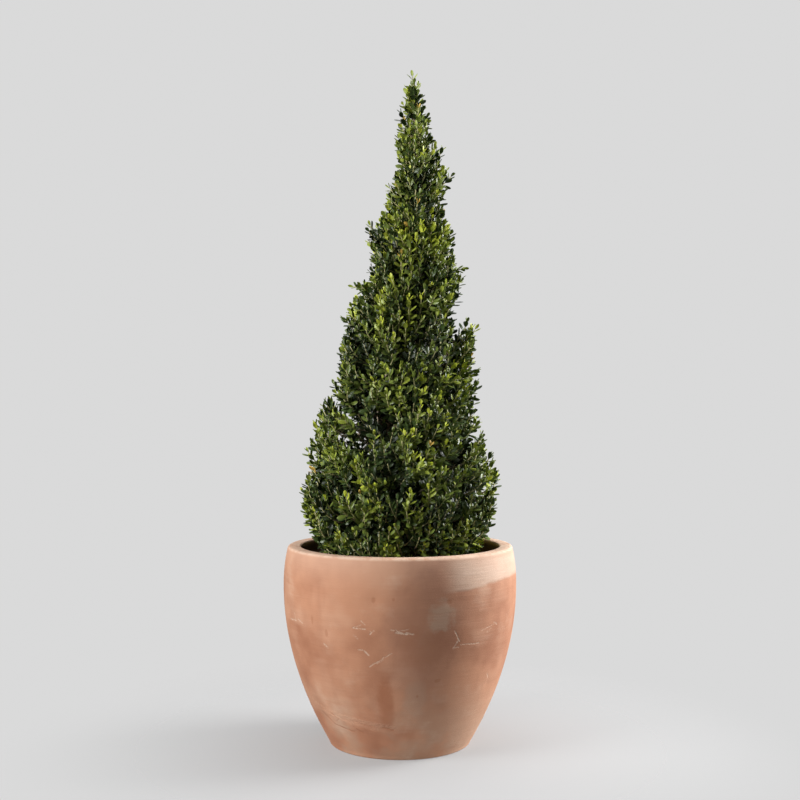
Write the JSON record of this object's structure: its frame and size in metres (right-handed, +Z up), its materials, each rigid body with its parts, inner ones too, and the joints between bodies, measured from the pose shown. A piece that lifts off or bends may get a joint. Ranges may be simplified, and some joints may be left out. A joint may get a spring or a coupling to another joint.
{
  "type": "boxwood cone topiary in a terracotta pot",
  "caption": "Boxwood clipped to a tall cone on a single leaning trunk, planted in soil in a round terracotta pot with a wide belly, a plain lip and a narrow foot.",
  "frame": {"origin": "centre of the pot's flat underside", "axes": "+Z up along the pot's axis; +X the way the tip of the plant leans"},
  "size_m": [0.48, 0.48, 1.378],
  "materials": {
    "terracotta": "matte",
    "soil": "matte",
    "bark": "matte",
    "leaves": "satin"
  },
  "bodies": {
    "root": {"pot": "terracotta", "soil": "soil", "trunk": "bark", "bough_tier1_1": "bark", "foliage_tier1_1": "leaves", "bough_tier1_2": "bark", "foliage_tier1_2": "leaves", "bough_tier1_3": "bark", "foliage_tier1_3": "leaves", "bough_tier1_4": "bark", "foliage_tier1_4": "leaves", "bough_tier1_5": "bark", "foliage_tier1_5": "leaves", "bough_tier1_6": "bark", "foliage_tier1_6": "leaves", "bough_tier2_1": "bark", "foliage_tier2_1": "leaves", "bough_tier2_2": "bark", "foliage_tier2_2": "leaves", "bough_tier2_3": "bark", "foliage_tier2_3": "leaves", "bough_tier2_4": "bark", "foliage_tier2_4": "leaves", "bough_tier2_5": "bark", "foliage_tier2_5": "leaves", "bough_tier3_1": "bark", "foliage_tier3_1": "leaves", "bough_tier3_2": "bark", "foliage_tier3_2": "leaves", "bough_tier3_3": "bark", "foliage_tier3_3": "leaves", "bough_tier3_4": "bark", "foliage_tier3_4": "leaves", "bough_tier4_1": "bark", "foliage_tier4_1": "leaves", "bough_tier4_2": "bark", "foliage_tier4_2": "leaves", "bough_tier4_3": "bark", "foliage_tier4_3": "leaves", "foliage_leader": "leaves"}
  },
  "joints": []
}
